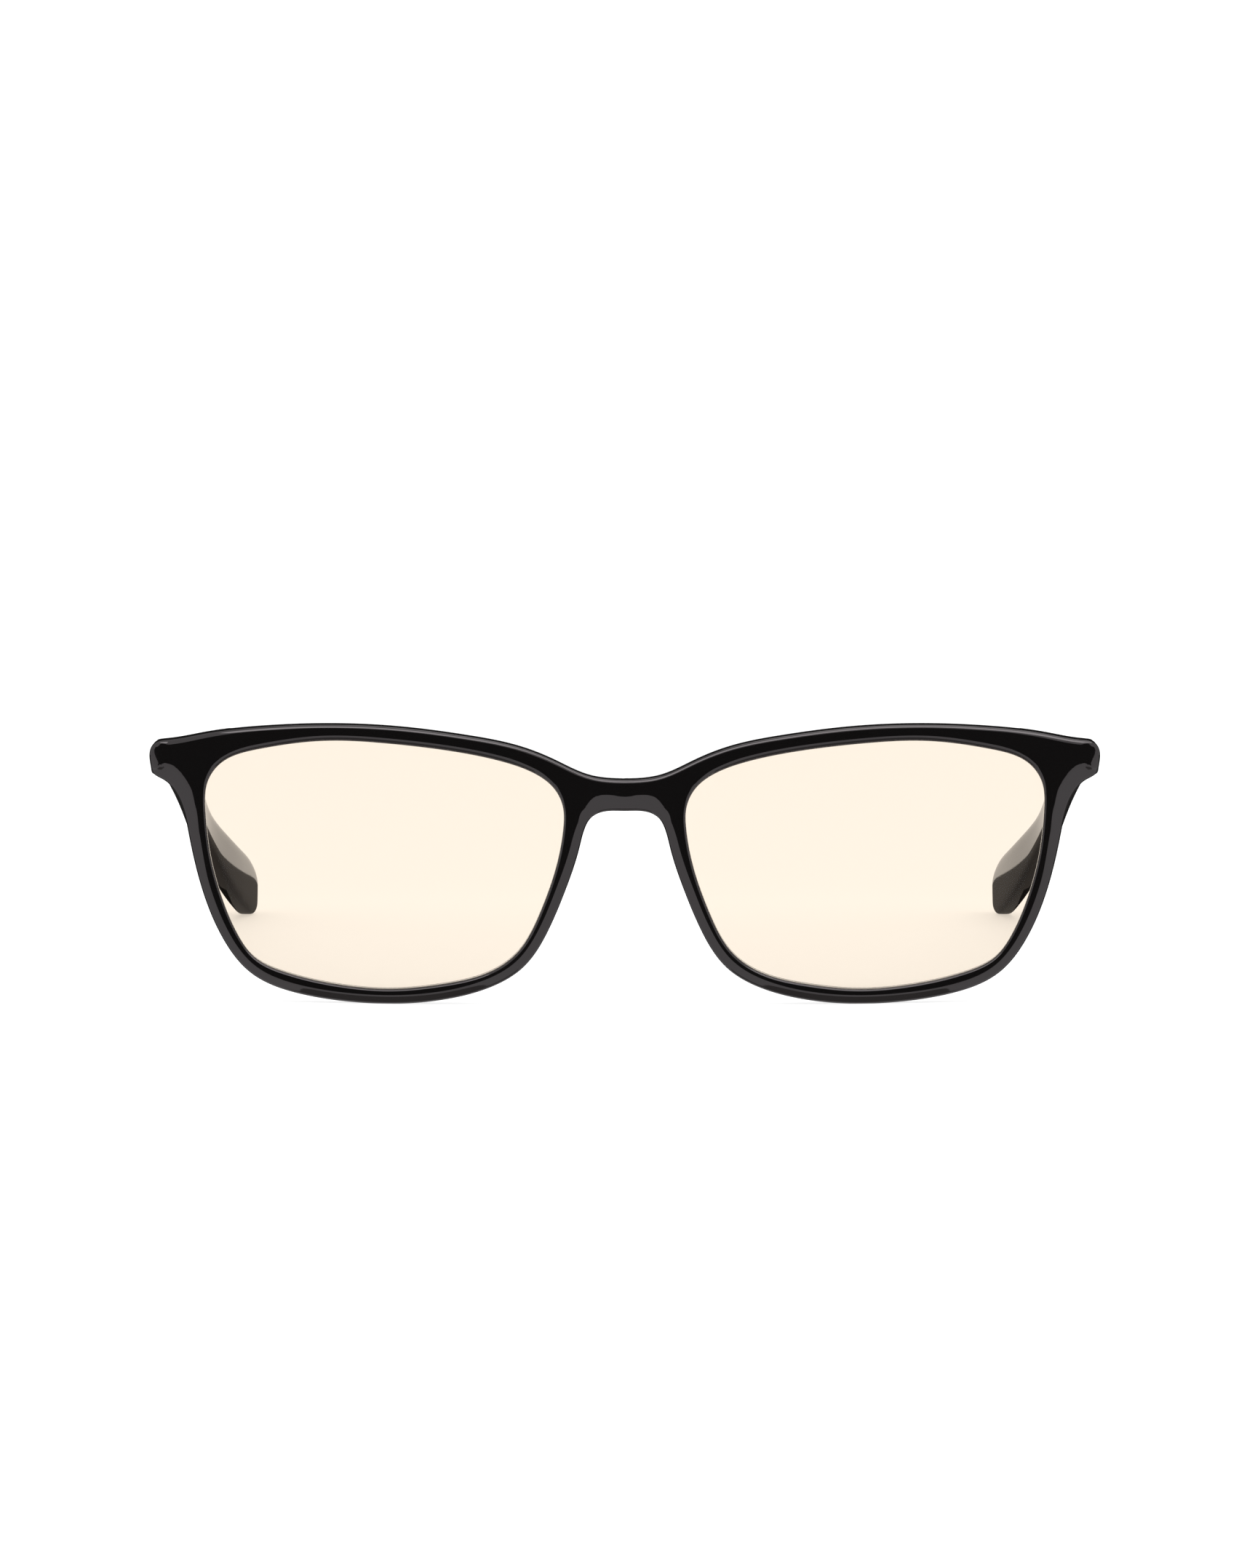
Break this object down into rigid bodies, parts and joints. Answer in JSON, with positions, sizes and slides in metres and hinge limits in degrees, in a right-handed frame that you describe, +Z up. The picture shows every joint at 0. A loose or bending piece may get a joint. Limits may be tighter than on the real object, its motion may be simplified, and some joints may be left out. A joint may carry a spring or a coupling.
{
  "type": "blue light glasses",
  "caption": "Full-rim gloss black spectacles with shallow rectangular pale yellow filter lenses and folding temples, standing open on rim bottoms and temple tips.",
  "frame": {"origin": "on the table, under the middle of the bounding box", "axes": "+Z up, front facing -Y, temples running back along +Y, left and right are the viewer's looking at the front: left is -X"},
  "size_m": [0.1394, 0.1544, 0.041],
  "materials": {
    "black_gloss": "polished",
    "lens_tint": "clear, coated",
    "pad_black": "polished",
    "hinge_steel": "satin",
    "screw_steel": "bright",
    "washer_nylon": "natural",
    "core_wire": "drawn"
  },
  "bodies": {
    "front": {"front_frame": "black_gloss", "lens_left": "lens_tint", "lens_right": "lens_tint", "nose_pad_left": "pad_black", "nose_pad_right": "pad_black", "front_leaf_left": "hinge_steel", "front_leaf_right": "hinge_steel", "hinge_screw_left": "screw_steel", "hinge_screw_right": "screw_steel", "hinge_washers_left": "washer_nylon", "hinge_washers_right": "washer_nylon", "front_leaf_screws_left": "screw_steel", "front_leaf_screws_right": "screw_steel"},
    "temple_arm_left": {"temple_left": "black_gloss", "temple_core_left": "core_wire", "temple_leaf_left": "hinge_steel", "temple_leaf_screws_left": "screw_steel"},
    "temple_arm_right": {"temple_right": "black_gloss", "temple_core_right": "core_wire", "temple_leaf_right": "hinge_steel", "temple_leaf_screws_right": "screw_steel"}
  },
  "joints": [
    {"name": "temple_fold_left", "type": "hinge", "parent": "front", "child": "temple_arm_left", "pos_m": [-0.0634, -0.0583, 0.0352], "axis": [0, -0.1219, -0.9925], "range_deg": [0, 91]},
    {"name": "temple_fold_right", "type": "hinge", "parent": "front", "child": "temple_arm_right", "pos_m": [0.0634, -0.0583, 0.0352], "axis": [0, 0.1219, 0.9925], "range_deg": [0, 85.5]}
  ]
}
